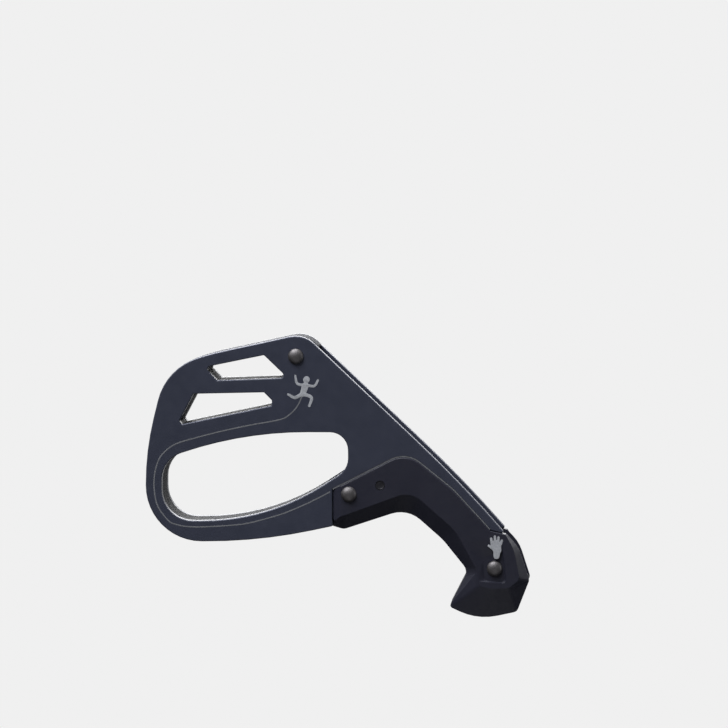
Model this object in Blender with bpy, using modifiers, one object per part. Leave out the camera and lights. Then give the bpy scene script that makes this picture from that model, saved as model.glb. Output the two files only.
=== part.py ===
"""Assisted-braking belay device: two riveted side plates round a rope channel, with a handle.

The device stands in the XZ plane with the rope channel's width along Y. The near half is at -Y.
Sizes are in millimetres and become metres as each mesh is made.
"""
import math

import bmesh
import bpy
from mathutils import Matrix, Vector

MM = 0.001
NAME = "belay_device"

# Depths from the middle plane, along Y.
GAP = 0.25                 # clearance between pieces that touch on the real device
ROPE_GAP = 12.6            # clear width between the side plates, for ropes up to 10.5 mm
PLATE_THICK = 3.4
TAB_THICK = 2.4            # the plates are thinner where the handle covers lie over them
COVER_PROUD = 0.8          # how far the covers stand out from the plates
POCKET_DEPTH = 0.7         # recess for the rear rivet
PLATE_IN = ROPE_GAP / 2
PLATE_OUT = PLATE_IN + PLATE_THICK
TAB_OUT = PLATE_IN + TAB_THICK
COVER_OUT = PLATE_OUT + COVER_PROUD
CORE_HALF = PLATE_IN - GAP
BEVEL_FOOT = PLATE_IN + 0.5    # where the covers' long lower bevel starts
COVER_EDGE = COVER_OUT - 0.6   # where the covers' upper edge starts to turn over
COVER_END = PLATE_OUT - 0.5    # where the slope on the covers' left end starts
PLATE_CHAMFER = 0.3

# Rivets, sleeves and pin.
RIVETS = {"top": (-12.6, 35.8), "front": (3.4, -5.6), "rear": (47.2, -27.8)}
SHANK_R = 1.25
HEAD_R = 2.33
HEAD_RISE = 1.2
HOLE_R = SHANK_R + GAP
SLEEVE_R = 2.1
PIN_AT = (12.8, -2.9)
PIN_R = 1.2
PIN_SUNK = 0.3             # how far the pin's ends lie below the covers

ARC_ERROR = 0.04           # how far inside its arc a rounded corner's chords may run
ROUND_STEPS = 20
EDGE_STEPS = 4

# Outlines: corners as (x, z, radius of the corner).
LOOP = [(-58.0, -20.15, 16.8), (-58.0, 7.2, 84.0), (-51.8, 32.3, 18.0), (-37.5, 36.65, 75.0),
        (-10.35, 42.6, 8.0)]
ARM_BOTTOM = (-23.8, -20.15, 155.0)
SLOT = [(-53.15, 4.5, 8.4), (-28.3, 12.95, 118.0), (3.05, 12.95, 5.4), (3.15, 1.9, 6.0),
        (-21.1, -13.9, 69.0), (-53.15, -13.9, 9.3)]
UPPER_WINDOW = [(-38.7, 32.7, 0.4), (-22.2, 36.1, 0.4), (-15.1, 29.3, 0.9), (-36.4, 28.5, 0.4),
                (-39.4, 31.7, 0.4)]
LOWER_WINDOW = [(-43.5, 24.4, 0.4), (-22.2, 24.9, 0.4), (-19.8, 22.5, 0.4), (-19.9, 20.95, 0.4),
                (-47.0, 15.2, 0.4), (-47.8, 16.2, 0.4)]
# The plate's full thickness ends along the handle cover's upper seam.
PLATE_SEAM = [(37.2, -2.3, 400.0), (50.3, -17.15, 0.4), (46.05, -16.2, 0.8), (34.8, -4.0, 20.0),
              (20.7, 7.3, 8.0), (-1.55, -4.1, 0.4), (-1.55, -15.35, 0.4)]
TAB = [(-6.0, -6.0, 0), (20.0, 9.0, 0), (44.0, -11.5, 0), (51.2, -20.5, 1.0), (51.2, -31.4, 1.2),
       (42.8, -31.4, 1.2), (42.4, -25.0, 2.0), (35.3, -16.1, 10.0), (22.1, -3.9, 4.0),
       (1.6, -11.2, 0.8), (-6.0, -11.2, 0)]
CHANNEL_SIDE = [(-5.9, 38.7, 0.5), (-12.0, 29.0, 20.0), (-17.2, 20.5, 15.0), (-25.6, 10.7, 0.3)]
ARM_END = [(-10.0, -2.0, 0), (-3.0, -2.0, 0), (-3.0, -15.6, 0.3)]
INSERT = [(-2.4, -2.2, 0.4), (19.9, 3.1, 6.0), (27.9, -0.6, 6.0), (31.5, -4.2, 0.3),
          (30.44, -5.26, 0.3), (27.0, -1.9, 4.5), (19.8, 1.55, 4.5), (-2.05, -3.66, 0.3)]
CHANNEL_FLOOR = [(-2.0, -3.95, 0), (19.75, 1.25, 4.3), (26.8, -2.15, 4.3), (30.47, -5.7, 0),
                 (31.8, -4.4, 0), (39.8, -12.5, 30.0)]

# The handle cover: each corner's foot, on the outline, and its place on the flat face.
# The word says whether it is on the long lower bevel, on the short upper edge, or where the
# bevel runs out at the left end.
COVER = [
    ((-1.3, -4.25, 0.4), (-1.0, -4.45, 0.4), "edge"),
    ((20.7, 7.0, 8.0), (20.7, 6.65, 7.7), "edge"),
    ((34.6, -4.2, 20.0), (34.3, -4.4, 20.0), "edge"),
    ((45.9, -16.45, 0.6), (45.85, -16.6, 0.6), "edge"),
    ((50.55, -17.5, 0.4), (50.4, -17.62, 0.4), "edge"),
    ((54.3, -21.4, 12.0), (53.0, -22.0, 12.0), "bevel"),
    ((57.6, -31.6, 1.6), (54.8, -31.0, 2.0), "bevel"),
    ((53.9, -41.1, 1.8), (51.4, -33.6, 2.0), "bevel"),
    ((42.1, -43.65, 18.0), (46.3, -33.9, 8.0), "bevel"),
    ((33.5, -39.7, 0.9), (42.7, -33.0, 1.2), "bevel"),
    ((39.1, -28.8, 3.0), (42.0, -28.4, 3.0), "bevel"),
    ((31.6, -19.5, 18.0), (35.6, -16.5, 15.0), "bevel"),
    ((20.9, -10.1, 9.0), (22.0, -4.6, 7.0), "bevel"),
    ((1.6, -16.5, 2.4), (3.0, -11.6, 0.8), "bevel"),
    ((-1.3, -15.3, 0.6), (-1.0, -12.9, 0.4), "end"),
]
END_SLOPE = [-1.3, 1.0]     # the slope on the left end runs from its foot to the flat face
POCKET_FLOOR = [(43.8, -24.6, 1.0), (49.2, -22.2, 1.0), (50.0, -27.0, 6.0), (50.3, -32.0, 1.0),
                (44.2, -31.4, 1.0)]
POCKET_MOUTH = [(38.5, -18.5, 2.0), (49.4, -19.5, 1.0), (50.4, -27.0, 6.0), (50.8, -32.4, 1.0),
                (42.4, -31.8, 1.0)]
TAB_ROOM = 0.3             # room round the plates' tabs, inside the covers


def sides(corners, i):
    """A corner of an outline, and the unit vectors along its sides to the ones before and after."""
    corner = Vector(corners[i][:2])
    back = (Vector(corners[i - 1][:2]) - corner).normalized()
    ahead = (Vector(corners[(i + 1) % len(corners)][:2]) - corner).normalized()
    return corner, back, ahead


def chords(corners, i):
    """How many chords the arc at a corner needs."""
    _, back, ahead = sides(corners, i)
    step = 2 * math.acos(1 - ARC_ERROR / max(corners[i][2], 10 * ARC_ERROR))
    return max(2, math.ceil((math.pi - back.angle(ahead)) / step))


def most_chords(low, high):
    """Chords that suit two outlines with the same corners, so that a skin can join them."""
    return [max(chords(low, i), chords(high, i)) for i in range(len(low))]


def outline(corners, counts=None):
    """Points round a polygon whose corners are rounded."""
    points = []
    for i, (_, _, radius) in enumerate(corners):
        corner, back, ahead = sides(corners, i)
        if radius == 0:
            points.append(corner)
            continue
        turn = math.pi - back.angle(ahead)
        centre = corner + (back + ahead).normalized() * radius / math.cos(turn / 2)
        start = corner + back * radius * math.tan(turn / 2) - centre
        way = math.copysign(turn, ahead.cross(back))
        pieces = counts[i] if counts else chords(corners, i)
        for k in range(pieces + 1):
            points.append(centre + Matrix.Rotation(way * k / pieces, 2) @ start)
    return points


def grown(corners, by):
    """The corners of a clockwise outline moved out, for the room round a piece."""
    moved = []
    for i, (x, z, radius) in enumerate(corners):
        _, back, ahead = sides(corners, i)
        out = Vector((back.y - ahead.y, ahead.x - back.x)).normalized()
        out *= by / math.sin(back.angle(ahead) / 2)
        moved.append((x + out.x, z + out.y, radius))
    return moved


def circle(centre, radius, steps=ROUND_STEPS):
    turn = 2 * math.pi / steps
    return [Vector(centre) + radius * Vector((math.cos(k * turn), math.sin(k * turn)))
            for k in range(steps)]


def material(name, colour, roughness, metallic):
    made = bpy.data.materials.new(name)
    made.use_nodes = True
    shader = made.node_tree.nodes["Principled BSDF"]
    shader.inputs["Base Color"].default_value = (*colour, 1.0)
    shader.inputs["Roughness"].default_value = roughness
    shader.inputs["Metallic"].default_value = metallic
    return made


def collection(name):
    made = bpy.data.collections.new(name)
    bpy.context.scene.collection.children.link(made)
    return made


def place(name, mesh, group, finish=None, matrix=None):
    piece = bpy.data.objects.new(name, mesh)
    if matrix is not None:
        piece.matrix_world = matrix
    if finish is not None:
        mesh.materials.append(finish)
    group.objects.link(piece)
    return piece


def slab(name, outlines, y_from, y_to, group, finish=None, chamfer=0):
    """A flat piece between two depths: the first outline is its edge, the others are holes."""
    curve = bpy.data.curves.new(name, "CURVE")
    curve.dimensions = "2D"
    curve.fill_mode = "BOTH"
    curve.extrude = (abs(y_to - y_from) / 2 - chamfer) * MM
    curve.bevel_depth = chamfer * MM
    curve.bevel_resolution = 0
    curve.offset = -chamfer * MM
    for points in outlines:
        spline = curve.splines.new("POLY")
        spline.points.add(len(points) - 1)
        for slot, point in zip(spline.points, points):
            slot.co = (point.x * MM, point.y * MM, 0, 1)
        spline.use_cyclic_u = True
    drawn = place(name, curve, group)
    drawn.rotation_euler.x = math.pi / 2
    drawn.location.y = (y_from + y_to) / 2 * MM
    bpy.context.view_layer.update()
    seen = drawn.evaluated_get(bpy.context.evaluated_depsgraph_get())
    mesh = bpy.data.meshes.new_from_object(seen)
    matrix = drawn.matrix_world.copy()
    bpy.data.objects.remove(drawn)
    bpy.data.curves.remove(curve)
    shape = bmesh.new()
    shape.from_mesh(mesh)
    bmesh.ops.remove_doubles(shape, verts=shape.verts, dist=1e-7)
    bmesh.ops.recalc_face_normals(shape, faces=shape.faces)
    shape.to_mesh(mesh)
    shape.free()
    mesh.materials.clear()
    return place(name, mesh, group, finish, matrix)


def loft(name, sections, group, finish=None):
    """A closed skin through sections given as (depth along Y, points round it)."""
    shape = bmesh.new()
    rings = [[shape.verts.new((p.x * MM, depth * MM, p.y * MM)) for p in points]
             for depth, points in sections]
    for low, high in zip(rings, rings[1:]):
        for k in range(len(low)):
            shape.faces.new((low[k - 1], low[k], high[k], high[k - 1]))
    shape.faces.new(rings[0])
    shape.faces.new(rings[-1])
    bmesh.ops.recalc_face_normals(shape, faces=shape.faces)
    mesh = bpy.data.meshes.new(name)
    shape.to_mesh(mesh)
    shape.free()
    return place(name, mesh, group, finish)


def turned(name, profile, centre, group, finish):
    """A round piece along Y at a centre: the profile is (radius, height), top to bottom."""
    mesh = bpy.data.meshes.new(name)
    edges = [(k, k + 1) for k in range(len(profile) - 1)]
    mesh.from_pydata([(r * MM, 0, h * MM) for r, h in profile], edges, [])
    piece = place(name, mesh, group, finish)
    piece.rotation_euler.x = math.pi / 2
    piece.location = (centre[0] * MM, 0, centre[1] * MM)
    screw = piece.modifiers.new("turn", "SCREW")
    screw.steps = ROUND_STEPS
    screw.render_steps = ROUND_STEPS
    screw.use_merge_vertices = True
    screw.merge_threshold = 1e-6
    return piece


def boolean(piece, other, operation="DIFFERENCE"):
    other.hide_render = True
    other.display_type = "WIRE"
    step = piece.modifiers.new(other.name, "BOOLEAN")
    step.operation = operation
    step.object = other


def side_plate(label, side, parts, cutters, finish):
    """An aluminium side plate: loop and tongue at full thickness, thinner under the cover."""
    edge = outline(LOOP + PLATE_SEAM + [ARM_BOTTOM])
    holes = [outline(c) for c in (SLOT, UPPER_WINDOW, LOWER_WINDOW)]
    plate = slab("side_plate_" + label, [edge, *holes, circle(RIVETS["top"], HOLE_R)],
                 side * PLATE_IN, side * PLATE_OUT, parts, finish, PLATE_CHAMFER)
    tab_holes = [circle(RIVETS[k], HOLE_R) for k in ("front", "rear")]
    tab = slab("tab_" + label, [outline(TAB), *tab_holes, circle(PIN_AT, PIN_R + GAP)],
               side * (PLATE_IN + 0.02), side * TAB_OUT, cutters)
    boolean(plate, tab, "UNION")
    return plate


def cover_section(depth):
    """The cover's outline at a depth, between its foot and its flat face."""
    bevel = min(max((depth - BEVEL_FOOT) / (COVER_OUT - BEVEL_FOOT), 0), 1)
    rise = min(max((depth - COVER_EDGE) / (COVER_OUT - COVER_EDGE), 0), 1)
    edge = 1 - math.sqrt(1 - rise ** 2)
    shares = {"edge": (edge, edge, edge), "bevel": (bevel, bevel, bevel), "end": (edge, bevel, edge)}
    return [tuple(a + (b - a) * share for a, b, share in zip(foot, face, shares[kind]))
            for foot, face, kind in COVER]


def end_slope(label, side, cutters):
    """What is cut from a cover's left end to slope it down to the plate."""
    top, bottom, clear = COVER[0][0][1] + 1, COVER[-1][0][1] - 1, END_SLOPE[0] - 1
    reach = END_SLOPE[1] + 0.1 * (END_SLOPE[1] - END_SLOPE[0]) / (COVER_OUT - COVER_END)
    sections = [(depth, [Vector(at) for at in ((clear, bottom), (x, bottom), (x, top), (clear, top))])
                for depth, x in ((side * COVER_END, END_SLOPE[0]), (side * (COVER_OUT + 0.1), reach))]
    return loft("end_slope_" + label, sections, cutters)


def handle_cover(label, side, parts, cutters, finish):
    """A moulded cover: flat face, long lower bevel, hook, and a recess for the rear rivet."""
    turns = [math.sin(math.pi / 2 * k / EDGE_STEPS) for k in range(EDGE_STEPS + 1)]
    depths = [PLATE_IN, BEVEL_FOOT, *(COVER_EDGE + (COVER_OUT - COVER_EDGE) * t for t in turns)]
    counts = most_chords(cover_section(PLATE_IN), cover_section(COVER_OUT))
    sections = [(side * depth, outline(cover_section(depth), counts)) for depth in depths]
    cover = loft("handle_cover_" + label, sections, parts, finish)
    room = slab("tab_room_" + label, [outline(grown(TAB, TAB_ROOM))],
                side * (PLATE_IN - 1), side * (TAB_OUT + GAP), cutters)
    boolean(cover, room)
    counts = most_chords(POCKET_FLOOR, POCKET_MOUTH)
    recess = [(side * (COVER_OUT - POCKET_DEPTH), outline(POCKET_FLOOR, counts)),
              (side * (COVER_OUT + 0.1), outline(POCKET_MOUTH, counts))]
    boolean(cover, loft("pocket_" + label, recess, cutters))
    boolean(cover, end_slope(label, side, cutters))
    holes = {"front": HOLE_R, "rear": HOLE_R, "pin": PIN_R + GAP}
    for hole, radius in holes.items():
        drill = slab(hole + "_hole_" + label, [circle({**RIVETS, "pin": PIN_AT}[hole], radius)],
                     side * (PLATE_IN - 1), side * (COVER_OUT + 1), cutters)
        boolean(cover, drill)
    return cover


def core_frame(parts, cutters, finish):
    """The frame between the plates, round the windows and the carabiner loop."""
    edge = outline(LOOP + CHANNEL_SIDE + ARM_END + [ARM_BOTTOM])
    holes = [outline(UPPER_WINDOW), outline(LOWER_WINDOW),
             circle(RIVETS["top"], SLEEVE_R + GAP)]
    frame = slab("core_frame", [edge, *holes], -CORE_HALF, CORE_HALF, parts, finish)
    cut = slab("slot_cut", [outline(SLOT)], -CORE_HALF - 1, CORE_HALF + 1, cutters)
    boolean(frame, cut)
    return frame


def handle_core(parts, finish):
    """The body of the handle between the plates, with the rope channel's floor on top."""
    under = [foot for foot, _, _ in COVER[6:14]]
    edge = outline(CHANNEL_FLOOR + under + [(-2.0, -15.45, 0.3)])
    holes = [circle(RIVETS[k], SLEEVE_R + GAP) for k in ("front", "rear")]
    return slab("handle_core", [edge, *holes, circle(PIN_AT, PIN_R + GAP)], -CORE_HALF,
                CORE_HALF, parts, finish)


def rivet(label, seat, parts, finish):
    """A rivet with a dome head on each side, seated at a depth from the middle plane."""
    foot = seat + GAP
    dome = [(HEAD_R * math.cos(a), foot + 0.15 + (HEAD_RISE - 0.15) * math.sin(a))
            for a in (math.radians(d) for d in (90, 72, 54, 36, 18, 0))]
    dome[0] = (0, dome[0][1])
    upper = dome + [(HEAD_R, foot), (SHANK_R, foot)]
    lower = [(r, -h) for r, h in reversed(upper)]
    return turned("rivet_" + label, upper + lower, RIVETS[label], parts, finish)


def sleeve(label, parts, finish):
    rings = [circle(RIVETS[label], SLEEVE_R), circle(RIVETS[label], HOLE_R)]
    return slab("sleeve_" + label, rings, -CORE_HALF, CORE_HALF, parts, finish)


def build():
    for old in list(bpy.data.objects):
        bpy.data.objects.remove(old)
    parts = collection(NAME)
    cutters = collection("cutters")
    plate = material("plate_anodised", (0.028, 0.030, 0.045), 0.42, 0.6)
    cover = material("cover_moulded", (0.022, 0.024, 0.035), 0.5, 0.0)
    core = material("core_moulded", (0.012, 0.012, 0.016), 0.55, 0.0)
    frame = material("frame_anodised", (0.07, 0.07, 0.08), 0.4, 0.7)
    steel = material("rivet_steel", (0.16, 0.15, 0.15), 0.28, 1.0)
    stainless = material("stainless", (0.5, 0.5, 0.5), 0.3, 1.0)
    for label, side in (("near", -1), ("far", 1)):
        side_plate(label, side, parts, cutters, plate)
        handle_cover(label, side, parts, cutters, cover)
    core_frame(parts, cutters, frame)
    handle_core(parts, core)
    slab("brake_insert", [outline(INSERT)], -CORE_HALF, CORE_HALF, parts, stainless)
    seats = {"top": PLATE_OUT, "front": COVER_OUT, "rear": COVER_OUT - POCKET_DEPTH}
    for label, seat in seats.items():
        rivet(label, seat, parts, steel)
        sleeve(label, parts, stainless)
    slab("dowel_pin", [circle(PIN_AT, PIN_R)], -COVER_OUT + PIN_SUNK, COVER_OUT - PIN_SUNK,
         parts, steel)


build()
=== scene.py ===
"""Assisted-braking belay device as it leaves the factory: anodised plates, moulded handle, rivets.

The plates lie in the XZ plane, with +X along the handle and +Z up, and the near half is at -Y.
Sizes here are in millimetres and become metres as each mesh is made.
"""

import math

import bmesh
import bpy
from mathutils import Matrix, Vector


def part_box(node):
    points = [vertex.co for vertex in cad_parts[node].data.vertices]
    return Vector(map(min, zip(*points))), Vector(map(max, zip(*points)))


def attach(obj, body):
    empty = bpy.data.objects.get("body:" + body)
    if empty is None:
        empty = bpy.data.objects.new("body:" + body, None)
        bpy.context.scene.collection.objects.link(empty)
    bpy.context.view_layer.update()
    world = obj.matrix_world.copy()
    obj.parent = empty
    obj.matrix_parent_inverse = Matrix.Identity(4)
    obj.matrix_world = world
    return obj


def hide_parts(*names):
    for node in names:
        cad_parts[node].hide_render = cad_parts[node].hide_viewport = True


MM = 0.001
WELD = 1e-6
SMOOTH = math.radians(40)        # corners sharper than this stay crisp
RIM_ANGLE = 0.02                 # flatter edges than this, in radians, lie within a face
EASED = math.radians(18)         # edges of the covers sharper than this are rounded
FACING = 0.985                   # faces whose normal is this far along Y are not edges
ROUND_STEPS = 64

# Depths along Y at which the frame's pieces show their outlines.
PLATE_WALL = 9.4
PLATE_IN, PLATE_OUT = 6.3, 9.7
TAB_IN, TAB_OUT = 6.32, 8.7
COVER_OUT = 10.5
POCKET_DEPTH = 0.7
TOUCH = 0.01                     # between pieces that lie against each other

# Radii of the rounded edges.
PLATE_ROUND = 0.35
TAB_ROUND = 0.1
CORE_ROUND = 0.22
COVER_ROUND = 0.16
SLEEVE_ROUND = 0.1
STROKE_ROUND = 1 / 16            # of the stroke's depth

# Rivets and pin.
SHANK_R = 1.2
HEAD_FOOT = 0.12                 # height of the step round the foot of a head
DOME_STEPS = 14
PIN_GAP = 0.2                    # the pin is drawn tight in its hole
PIN_CUP = 0.15                   # depth of the cup in its ends
PIN_CUP_SHARE = 0.8              # of the pin's radius
PIN_CHAMFER = 0.08
CAP_STEPS = 8                    # of the cup, and of a brush stroke's round ends

# The rope's path, marked on the near side: round the carabiner slot and on to the handle.
ROPE_LINE = [
    (-10.7, 23.8), (-12.2, 20.7), (-14.7, 18.1), (-17.6, 16.7), (-26.6, 15.0), (-34.9, 13.2),
    (-43.4, 11.0), (-48.8, 9.3), (-52.1, 7.0), (-54.0, 4.5), (-55.2, 0.5), (-55.4, -4.5),
    (-54.3, -9.6), (-51.1, -13.9), (-48.8, -15.0), (-45.9, -15.6), (-40.0, -15.7), (-29.2, -14.9),
    (-22.5, -13.4), (-16.0, -11.4), (-9.4, -8.6), (-4.6, -6.2), (-2.2, -4.9),
]
TONGUE_TIP = (48.3, -16.9)
TONGUE_STEP = (0.2, -0.26)       # how far the tip moves towards the cover
TIP_REACH = 2.8                  # how far from the tip the outline moves with it
SEAM_FROM, SEAM_TO = (-1.55, -4.1), (45.8, -16.1)
LINE_WIDTH = 0.4
SEAM_WIDTH = 0.5
LINE_LIFT = 0.02                 # how far marks stand out, so that they don't flicker in the face
STROKE_LIFT = 0.004              # how much further out each stroke of a pictogram is than the last
MARK_DEPTH = 0.1
SEAM_DEPTH, SEAM_SUNK = 0.3, 0.08    # the seam's line lies in the rounded edge of the plate

# Pictograms: strokes as (points, width at the start, width at the end).
CLIMBER = [
    ([(-9.4, 28.75), (-9.35, 28.85)], 2.0, 2.0),
    ([(-9.7, 27.0), (-10.5, 24.5)], 2.1, 1.7),
    ([(-9.1, 27.1), (-7.0, 26.9), (-5.9, 28.6)], 0.85, 0.65),
    ([(-10.3, 27.1), (-12.2, 27.7), (-12.7, 29.9)], 0.85, 0.65),
    ([(-10.1, 24.4), (-7.9, 23.4), (-8.5, 20.9)], 1.15, 0.75),
    ([(-10.8, 24.4), (-12.9, 23.4), (-14.8, 24.3)], 1.15, 0.75),
]
HAND = [
    ([(47.6, -20.7), (48.0, -22.1)], 3.2, 2.6),
    ([(48.0, -22.3), (47.8, -24.0)], 2.2, 1.8),
    ([(46.4, -20.2), (46.2, -18.7)], 0.8, 0.7),
    ([(47.4, -19.7), (47.3, -18.1)], 0.8, 0.7),
    ([(48.3, -19.8), (48.4, -18.4)], 0.8, 0.7),
    ([(49.0, -20.5), (49.4, -19.3)], 0.8, 0.7),
    ([(46.6, -21.6), (45.5, -20.9)], 0.9, 0.7),
]

# Camera and studio.
LOOKS_AT = Vector((7.95, -9.7, 33.55))
DISTANCE = 1200
YAW = math.radians(3.4)
PITCH = math.radians(2.9)
FRAME_WIDTH = 218.4
SENSOR = 36
BACKDROP = 0.871
BRIGHT_SIDE = (-0.08, 0.72, 0.69)
GLOW_FROM, GLOW_TO = -0.1, 0.7   # how far towards the bright side the studio is dim, then bright
STUDIO_BRIGHT, STUDIO_DIM = 1.0, 0.05
FLOOR_HEIGHT, FLOOR_RADIUS = -1.0, 0.45

# Lamps as (name, place in metres, size, watts, spread in degrees).
LAMPS = [
    ("key", (-0.45, -0.6, 1.0), 0.7, 9, 110),
    ("top", (-0.2, 0.1, 1.1), 0.7, 10, 130),
    ("rim", (-0.1, 1.0, 0.5), 0.8, 4, 120),
    ("side", (1.0, -0.2, 0.1), 0.4, 0.6, 100),
    ("fill", (0.1, -0.9, -0.7), 0.5, 0.8, 120),
]


# Materials ------------------------------------------------------------------------------------

class Finish:
    """A material's node tree, with short ways to add to it."""

    def __init__(self, name, roughness, metallic, **settings):
        self.material = bpy.data.materials.new(name)
        self.material.use_nodes = True
        self.tree = self.material.node_tree
        self.shader = self.tree.nodes["Principled BSDF"]
        self.shader.inputs["Roughness"].default_value = roughness
        self.shader.inputs["Metallic"].default_value = metallic
        for socket, value in settings.items():
            self.shader.inputs[socket.replace("_", " ")].default_value = value
        self.place = self.add("ShaderNodeTexCoord").outputs["Object"]

    def add(self, kind, **sockets):
        node = self.tree.nodes.new(kind)
        for name, value in sockets.items():
            self.give(node.inputs[name.replace("_", " ")], value)
        return node

    def give(self, socket, value):
        if isinstance(value, bpy.types.NodeSocket):
            self.tree.links.new(value, socket)
        else:
            socket.default_value = value

    def noise(self, size, detail=3.0, stretch=(1, 1, 1)):
        """Noise whose lumps are about size across, in mm, drawn out along the axes by stretch."""
        spread = self.add("ShaderNodeMapping", Vector=self.place)
        spread.inputs["Scale"].default_value = [1 / (size * MM * s) for s in stretch]
        return self.add("ShaderNodeTexNoise", Vector=spread.outputs["Vector"], Scale=1.0,
                        Detail=detail).outputs["Fac"]

    def ramp(self, factor, low, high, begin=0.3, end=0.7):
        """A colour, or a grey when low and high are numbers, that follows a factor."""
        node = self.add("ShaderNodeValToRGB", Fac=factor)
        stops = node.color_ramp.elements
        for stop, value, at in ((stops[0], low, begin), (stops[1], high, end)):
            stop.position = at
            stop.color = (*value, 1) if isinstance(value, tuple) else (value, value, value, 1)
        return node.outputs["Color"]

    def colour(self, value):
        self.give(self.shader.inputs["Base Color"], value)

    def roughness(self, value):
        self.give(self.shader.inputs["Roughness"], value)

    def bump(self, *heights):
        """Bumps on top of one another, each given as (height, depth in mm)."""
        normal = None
        for height, depth in heights:
            node = self.add("ShaderNodeBump", Height=height, Distance=depth * MM)
            if normal is not None:
                self.give(node.inputs["Normal"], normal)
            normal = node.outputs["Normal"]
        self.give(self.shader.inputs["Normal"], normal)


def anodised(name, dark, light, metallic, rough_low=0.40, rough_high=0.47, grain=0.008):
    """Blasted and anodised aluminium: a fine even grain, with faint cloudy variation."""
    finish = Finish(name, 0.45, metallic)
    finish.colour(finish.ramp(finish.noise(9.0, 4.0), dark, light))
    finish.roughness(finish.ramp(finish.noise(2.2, 5.0), rough_low, rough_high))
    finish.bump((finish.noise(0.16, 2.0), grain), (finish.noise(1.6, 3.0), 0.003))
    return finish.material


def moulded(name, dark, light, gloss, rough_low=0.42, rough_high=0.54):
    """Glass-filled nylon with an eroded mould grain."""
    finish = Finish(name, 0.5, 0.0, Specular_IOR_Level=gloss)
    finish.colour(finish.ramp(finish.noise(7.0, 4.0), dark, light))
    finish.roughness(finish.ramp(finish.noise(1.1, 4.0), rough_low, rough_high))
    finish.bump((finish.noise(0.22, 3.0), 0.014), (finish.noise(5.0, 2.0), 0.01))
    return finish.material


def steel(name, dark, light, rough_low, rough_high):
    """Steel with fine turning marks and a little tarnish."""
    finish = Finish(name, 0.3, 1.0)
    finish.colour(finish.ramp(finish.noise(1.5, 5.0), dark, light))
    finish.roughness(finish.ramp(finish.noise(0.5, 4.0), rough_low, rough_high))
    finish.bump((finish.noise(0.3, 3.0, (1, 6, 1)), 0.001))
    return finish.material


def marked(name, dark, light):
    """A laser mark: the anodising burnt off to a matt grey."""
    finish = Finish(name, 0.6, 0.0, Specular_IOR_Level=0.3)
    low, high = [(grey * 0.96, grey, grey * 1.1) for grey in (dark, light)]
    finish.colour(finish.ramp(finish.noise(0.5, 4.0), low, high))
    finish.roughness(finish.ramp(finish.noise(0.2, 3.0), 0.5, 0.7))
    finish.bump((finish.noise(0.12, 2.0), 0.01))
    return finish.material


# Shapes ---------------------------------------------------------------------------------------

def welded(node):
    """A node's shape with its split corners joined again."""
    shape = bmesh.new()
    shape.from_mesh(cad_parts[node].data)
    bmesh.ops.remove_doubles(shape, verts=shape.verts, dist=WELD)
    return shape


def rings(node, depth):
    """The closed outlines of a node at a depth along Y, the widest first, in mm."""
    shape = welded(node)
    level = [e for e in shape.edges if all(abs(v.co.y - depth * MM) < 2 * WELD for v in e.verts)]
    # A dict keeps its order, while a set's would change from run to run.
    rim = {e: None for e in level if len(e.link_faces) == 2 and e.calc_face_angle() > RIM_ANGLE}
    found = []
    while rim:
        edge = rim.popitem()[0]
        start, at = edge.verts
        ring = [start.co.copy()]
        while at is not start:
            ring.append(at.co.copy())
            edge = next(e for e in at.link_edges if e in rim)
            del rim[edge]
            at = edge.other_vert(at)
        found.append([Vector((c.x, c.z)) / MM for c in ring])
    shape.free()
    return sorted(found, key=lambda ring: min(p.x for p in ring) - max(p.x for p in ring))


def slab(outlines, y_from, y_to, rounding):
    """A flat piece with rounded edges: the first outline is its edge, the others are holes."""
    curve = bpy.data.curves.new("slab", "CURVE")
    curve.dimensions = "2D"
    curve.fill_mode = "BOTH"
    curve.extrude = (abs(y_to - y_from) / 2 - rounding) * MM
    curve.bevel_depth = rounding * MM
    curve.bevel_resolution = 3
    curve.offset = -rounding * MM
    for points in outlines:
        spline = curve.splines.new("POLY")
        spline.points.add(len(points) - 1)
        for slot, point in zip(spline.points, points):
            slot.co = (point.x * MM, point.y * MM, 0, 1)
        spline.use_cyclic_u = True
    drawn = bpy.data.objects.new("slab", curve)
    bpy.context.scene.collection.objects.link(drawn)
    bpy.context.view_layer.update()
    seen = drawn.evaluated_get(bpy.context.evaluated_depsgraph_get())
    shape = bmesh.new()
    shape.from_mesh(bpy.data.meshes.new_from_object(seen))
    bpy.data.objects.remove(drawn)
    standing = Matrix.Rotation(math.pi / 2, 4, "X")
    upright = Matrix.Translation((0, (y_from + y_to) / 2 * MM, 0)) @ standing
    bmesh.ops.transform(shape, matrix=upright, verts=shape.verts)
    bmesh.ops.remove_doubles(shape, verts=shape.verts, dist=WELD / 2)
    bmesh.ops.recalc_face_normals(shape, faces=shape.faces)
    return shape


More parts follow.
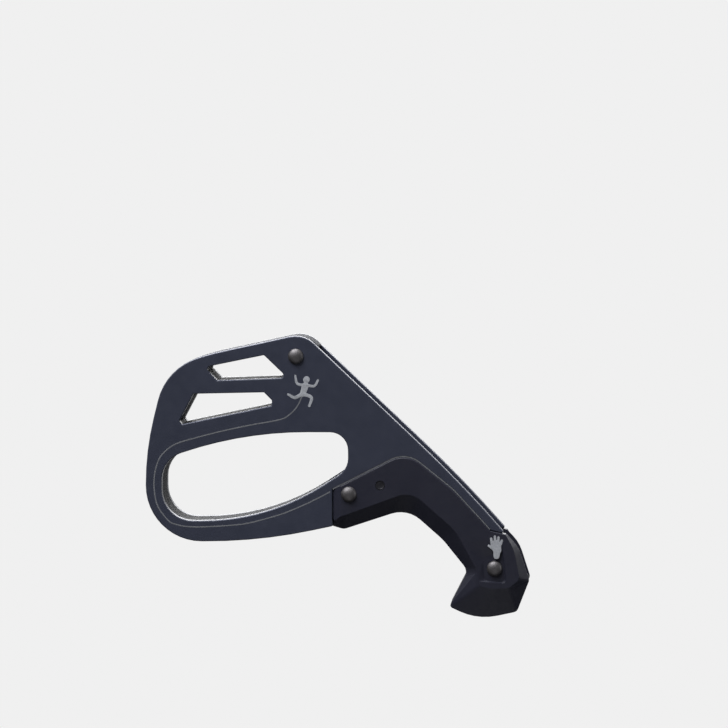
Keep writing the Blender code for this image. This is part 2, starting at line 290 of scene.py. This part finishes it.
def piece(name, shapes, finishes, slot, *stands_for):
    """One object from shapes, smooth but for its crisp corners, that stands for CAD nodes."""
    mesh = bpy.data.meshes.new(name)
    whole = bmesh.new()
    for shape in shapes:
        shape.to_mesh(mesh)
        shape.free()
        whole.from_mesh(mesh)
    for face in whole.faces:
        face.smooth = True
        on_edge = abs(face.normal.y) < FACING
        # Edge and wall faces take the second finish; for the plates that is the lighter rim copy,
        # a painted highlight.
        face.material_index = 1 if on_edge and len(finishes) > 1 else 0
    for edge in whole.edges:
        edge.smooth = edge.calc_face_angle(0) < SMOOTH
    whole.to_mesh(mesh)
    whole.free()
    mesh.materials.clear()
    for finish in finishes:
        mesh.materials.append(finish)
    made = bpy.data.objects.new(name, mesh)
    bpy.context.scene.collection.objects.link(made)
    if slot == "cover" and stands_for:
        easing = made.modifiers.new("eased_edges", "BEVEL")
        easing.limit_method = "ANGLE"
        easing.angle_limit = EASED
        easing.width = COVER_ROUND * MM
        easing.segments = 2
    evening = made.modifiers.new("flat_faces", "WEIGHTED_NORMAL")
    evening.keep_sharp = True
    evening.weight = 100
    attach(made, "root")
    if stands_for:
        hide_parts(*stands_for)
    return made


def turned(profile, centre):
    """A round shape along Y at a centre, from its (radius, depth) profile."""
    shape = bmesh.new()
    rows = []
    for radius, depth in profile:
        steps = ROUND_STEPS if radius else 1    # on the axis a row is one point
        turns = [2 * math.pi * k / steps for k in range(steps)]
        rows.append([shape.verts.new(((centre[0] + radius * math.cos(a)) * MM, depth * MM,
                                      (centre[1] + radius * math.sin(a)) * MM)) for a in turns])
    for low, high in zip(rows, rows[1:]):
        for k in range(ROUND_STEPS):
            corners = [row[(k + step) % len(row)]
                       for row, step in ((low, 0), (low, 1), (high, 1), (high, 0))]
            shape.faces.new(list(dict.fromkeys(corners)))
    bmesh.ops.recalc_face_normals(shape, faces=shape.faces)
    return shape


# Pieces of the device -------------------------------------------------------------------------

def side_plate(label, side, finishes):
    """A side plate, whose tongue closes up against the handle cover at its tip."""
    node = "side_plate_" + label
    edge, *holes = rings(node, side * PLATE_WALL)
    near_tip = [(point - Vector(TONGUE_TIP)).length < TIP_REACH for point in edge]
    edge = [p + Vector(TONGUE_STEP) if moves else p for p, moves in zip(edge, near_tip)]
    body = slab([edge, *holes], side * PLATE_IN, side * PLATE_OUT, PLATE_ROUND)
    tab = slab(rings(node, side * TAB_OUT), side * TAB_IN, side * TAB_OUT, TAB_ROUND)
    return piece("plate_" + label, [body, tab], finishes, "plate", node)


def between_plates(name, node, rounding, finishes, slot):
    """A flat piece that fills the space between the plates."""
    outlines = rings(node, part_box(node)[1].y / MM)
    fill = PLATE_IN - TOUCH
    return piece(name, [slab(outlines, -fill, fill, rounding)], finishes, slot, node)


def middle(node):
    low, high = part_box(node)
    return Vector((low.x + high.x, low.z + high.z)) / 2 / MM


def dome_rivet(end, seat, finishes):
    """A rivet whose dome heads sit on the surface, with a fine step round the foot of each."""
    node = "rivet_" + end
    low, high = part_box(node)
    radius, top = (high.x - low.x) / 2 / MM, high.y / MM
    rise = top - seat - HEAD_FOOT
    dome = [(radius * math.sin(a), seat + HEAD_FOOT + rise * math.cos(a))
            for a in (math.pi / 2 * k / DOME_STEPS for k in range(DOME_STEPS + 1))]
    half = [*dome, (radius, seat), (SHANK_R, seat)]
    profile = half + [(r, -d) for r, d in reversed(half)]
    return piece("dome_rivet_" + end, [turned(profile, middle(node))], finishes, "rivet", node)


def pin(finishes):
    """The dowel pin, with a shallow cup in each end."""
    low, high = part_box("dowel_pin")
    radius, top = (high.x - low.x) / 2 / MM + PIN_GAP, high.y / MM + PIN_CUP
    cup = [(radius * PIN_CUP_SHARE * math.sin(a), top - PIN_CUP * math.cos(a))
           for a in (math.pi / 2 * k / CAP_STEPS for k in range(CAP_STEPS + 1))]
    half = [*cup, (radius - PIN_CHAMFER, top), (radius, top - PIN_CHAMFER)]
    profile = half + [(r, -d) for r, d in reversed(half)]
    return piece("pin", [turned(profile, middle("dowel_pin"))], finishes, "rivet", "dowel_pin")


def curve_through(points, steps=10):
    """Points on a smooth curve through the given ones."""
    ends = [2 * points[0] - points[1], *points, 2 * points[-1] - points[-2]]
    made = []
    for a, b, c, d in zip(ends, ends[1:], ends[2:], ends[3:]):
        for k in range(steps):
            t = k / steps
            made.append(0.5 * (2 * b + (c - a) * t + (2 * a - 5 * b + 4 * c - d) * t ** 2
                               + (3 * b - a - 3 * c + d) * t ** 3))
    return [*made, points[-1]]


def ribbon(points, width, inner, outer):
    """A thin strip of one width that follows points, between two depths, a little narrower at the
    outer one.
    """
    shape = bmesh.new()
    rows = []
    for k, point in enumerate(points):
        ahead = points[min(k + 1, len(points) - 1)] - points[max(k - 1, 0)]
        across = Vector((-ahead.y, ahead.x)).normalized() * width / 2
        rows.append([shape.verts.new((p.x * MM, depth * MM, p.y * MM))
                     for p, depth in ((point - across, inner), (point - across * 0.9, outer),
                                      (point + across * 0.9, outer), (point + across, inner))])
    for low, high in zip(rows, rows[1:]):
        for k in range(4):
            shape.faces.new((low[k - 1], low[k], high[k], high[k - 1]))
    shape.faces.new(rows[0])
    shape.faces.new(rows[-1])
    bmesh.ops.recalc_face_normals(shape, faces=shape.faces)
    return shape


def stroke(points, start, end, inner, outer):
    """A brush stroke with round ends whose width changes evenly along it."""
    path = curve_through([Vector(p) for p in points], 12)
    lengths = [0.0]
    for a, b in zip(path, path[1:]):
        lengths.append(lengths[-1] + (b - a).length)
    radii = [(start + (end - start) * s / lengths[-1]) / 2 for s in lengths]
    ahead = [(path[min(k + 1, len(path) - 1)] - path[max(k - 1, 0)]).normalized()
             for k in range(len(path))]
    across = [Vector((-d.y, d.x)) for d in ahead]
    left = [p + a * r for p, a, r in zip(path, across, radii)]
    right = [p - a * r for p, a, r in zip(path, across, radii)]
    turns = [math.pi * k / CAP_STEPS for k in range(1, CAP_STEPS)]
    tip = [path[-1] + radii[-1] * (across[-1] * math.cos(a) + ahead[-1] * math.sin(a))
           for a in turns]
    tail = [path[0] - radii[0] * (across[0] * math.cos(a) + ahead[0] * math.sin(a))
            for a in turns]
    return slab([left + tip + right[::-1] + tail], inner, outer, abs(outer - inner) * STROKE_ROUND)


def pictogram(name, strokes, face, finish, slot):
    """Strokes on a face, each a little prouder than the last where they cross."""
    shapes = [stroke(*s, -face + MARK_DEPTH, -face - LINE_LIFT - STROKE_LIFT * k)
              for k, s in enumerate(strokes)]
    piece(name, shapes, [finish], slot)


def markings(line, picture):
    """The rope's path and the two pictograms on the near side."""
    marks = curve_through([Vector(p) for p in ROPE_LINE])
    face = -PLATE_OUT
    path = ribbon(marks, LINE_WIDTH, face + MARK_DEPTH, face - LINE_LIFT)
    piece("rope_line", [path], [line], "plate")
    seam = stretch(rings("side_plate_near", -PLATE_WALL)[0], Vector(SEAM_FROM), Vector(SEAM_TO))
    path = ribbon(seam, SEAM_WIDTH, face + SEAM_DEPTH, face + SEAM_SUNK)
    piece("rope_line_along_handle", [path], [line], "plate")
    pictogram("climber_side_mark", CLIMBER, PLATE_OUT, picture, "plate")
    pictogram("brake_hand_mark", HAND, COVER_OUT, picture, "cover")


def stretch(ring, start, end):
    """The shorter part of a ring between its points nearest to two others."""
    first = min(range(len(ring)), key=lambda k: (ring[k] - start).length)
    last = min(range(len(ring)), key=lambda k: (ring[k] - end).length)
    ways = []
    for step in (1, -1):
        way = [first]
        while way[-1] != last:
            way.append((way[-1] + step) % len(ring))
        ways.append([ring[k] for k in way])
    return min(ways, key=lambda way: sum((b - a).length for a, b in zip(way, way[1:])))


# Stage ----------------------------------------------------------------------------------------

def camera():
    data = bpy.data.cameras.new("camera")
    seat = bpy.data.objects.new("camera", data)
    bpy.context.scene.collection.objects.link(seat)
    level = Vector((math.sin(YAW), -math.cos(YAW), 0)) * math.cos(PITCH)
    back = level + Vector((0, 0, math.sin(PITCH)))
    seat.location = (LOOKS_AT + back * DISTANCE) * MM
    seat.rotation_euler = (-back).to_track_quat("-Z", "Y").to_euler()
    data.sensor_width = SENSOR
    data.lens = SENSOR * DISTANCE / FRAME_WIDTH
    bpy.context.scene.camera = seat


def floor(height, radius):
    shape = bmesh.new()
    bmesh.ops.create_circle(shape, cap_ends=True, segments=96, radius=radius)
    mesh = bpy.data.meshes.new("floor")
    shape.to_mesh(mesh)
    shape.free()
    ground = bpy.data.objects.new("floor", mesh)
    ground.location.z = height
    ground.visible_glossy = False
    bpy.context.scene.collection.objects.link(ground)
    finish = Finish("floor_paper", 0.9, 0.0)
    finish.colour(finish.ramp(finish.noise(40.0, 2.0), (0.80, 0.80, 0.80), (0.84, 0.84, 0.84)))
    mesh.materials.append(finish.material)


def softbox(name, at, size, power, spread):
    """A square lamp at a place in metres, facing the object."""
    data = bpy.data.lights.new(name, "AREA")
    data.size = size
    data.energy = power
    data.spread = math.radians(spread)
    lamp = bpy.data.objects.new(name, data)
    lamp.location = at
    lamp.rotation_euler = (-Vector(at)).to_track_quat("-Z", "Y").to_euler()
    lamp.visible_camera = False
    bpy.context.scene.collection.objects.link(lamp)


def surroundings(bright, dim):
    """A plain pale backdrop, in a studio bright above and behind, and dim in front and below."""
    world = bpy.data.worlds.new("studio")
    world.use_nodes = True
    bpy.context.scene.world = world
    nodes, links = world.node_tree.nodes, world.node_tree.links
    nodes.clear()
    way = nodes.new("ShaderNodeTexCoord")
    towards = nodes.new("ShaderNodeVectorMath")
    glow = nodes.new("ShaderNodeMapRange")
    backdrop, studio = nodes.new("ShaderNodeBackground"), nodes.new("ShaderNodeBackground")
    path, mix = nodes.new("ShaderNodeLightPath"), nodes.new("ShaderNodeMixShader")
    out = nodes.new("ShaderNodeOutputWorld")
    towards.operation = "DOT_PRODUCT"
    towards.inputs[1].default_value = BRIGHT_SIDE
    glow.interpolation_type = "SMOOTHSTEP"
    glow.inputs["From Min"].default_value = GLOW_FROM
    glow.inputs["From Max"].default_value = GLOW_TO
    glow.inputs["To Min"].default_value = dim
    glow.inputs["To Max"].default_value = bright
    backdrop.inputs["Color"].default_value = (BACKDROP, BACKDROP, BACKDROP, 1)
    links.new(way.outputs["Generated"], towards.inputs[0])
    links.new(towards.outputs["Value"], glow.inputs["Value"])
    links.new(glow.outputs["Result"], studio.inputs["Strength"])
    links.new(path.outputs["Is Camera Ray"], mix.inputs["Fac"])
    links.new(studio.outputs["Background"], mix.inputs[1])
    links.new(backdrop.outputs["Background"], mix.inputs[2])
    links.new(mix.outputs["Shader"], out.inputs["Surface"])


# Build ----------------------------------------------------------------------------------------

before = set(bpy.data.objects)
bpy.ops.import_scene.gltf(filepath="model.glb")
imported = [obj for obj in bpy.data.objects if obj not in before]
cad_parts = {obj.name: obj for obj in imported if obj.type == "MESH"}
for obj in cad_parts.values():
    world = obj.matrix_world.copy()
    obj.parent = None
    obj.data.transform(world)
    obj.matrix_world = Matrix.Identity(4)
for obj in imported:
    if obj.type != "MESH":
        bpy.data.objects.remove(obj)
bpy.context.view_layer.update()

plate = anodised("plate", (0.031, 0.036, 0.058), (0.035, 0.040, 0.064), 0.35)
# The rounded edges and walls take a much lighter, more metallic copy of the plate finish: a
# painted highlight, so the rims come out bright.
plate_edge_highlight = anodised("plate_edge_highlight", (0.30, 0.31, 0.35), (0.38, 0.39, 0.42), 0.9, 0.28, 0.36, 0.002)
cover = moulded("cover", (0.0125, 0.0132, 0.023), (0.015, 0.0157, 0.026), 0.25)
core = moulded("core", (0.024, 0.025, 0.030), (0.032, 0.033, 0.038), 0.06, 0.6, 0.8)
rivet = steel("rivet", (0.10, 0.096, 0.102), (0.135, 0.13, 0.135), 0.52, 0.62)
dark_pin = steel("pin", (0.035, 0.035, 0.042), (0.05, 0.05, 0.058), 0.5, 0.6)
bright = steel("stainless", (0.34, 0.335, 0.33), (0.42, 0.415, 0.41), 0.38, 0.48)

SEATS = {"top": PLATE_OUT, "front": COVER_OUT, "rear": COVER_OUT - POCKET_DEPTH}

for half, side in (("near", -1), ("far", 1)):
    side_plate(half, side, [plate, plate_edge_highlight])
    node = "handle_cover_" + half
    piece("cover_" + half, [welded(node)], [cover], "cover", node)
between_plates("frame_between_plates", "core_frame", CORE_ROUND, [core], "frame")
between_plates("handle_body", "handle_core", CORE_ROUND, [core], "core")
between_plates("brake_bar", "brake_insert", CORE_ROUND, [bright], "stainless")
for end, seat in SEATS.items():
    dome_rivet(end, seat, [rivet])
    between_plates("sleeve_round_" + end, "sleeve_" + end, SLEEVE_ROUND, [bright], "stainless")
pin([dark_pin])
markings(marked("line_mark", 0.10, 0.14), marked("picture_mark", 0.24, 0.33))

camera()
floor(FLOOR_HEIGHT, FLOOR_RADIUS)
surroundings(STUDIO_BRIGHT, STUDIO_DIM)
for lamp in LAMPS:
    softbox(*lamp)
bpy.context.scene.view_settings.view_transform = "Standard"
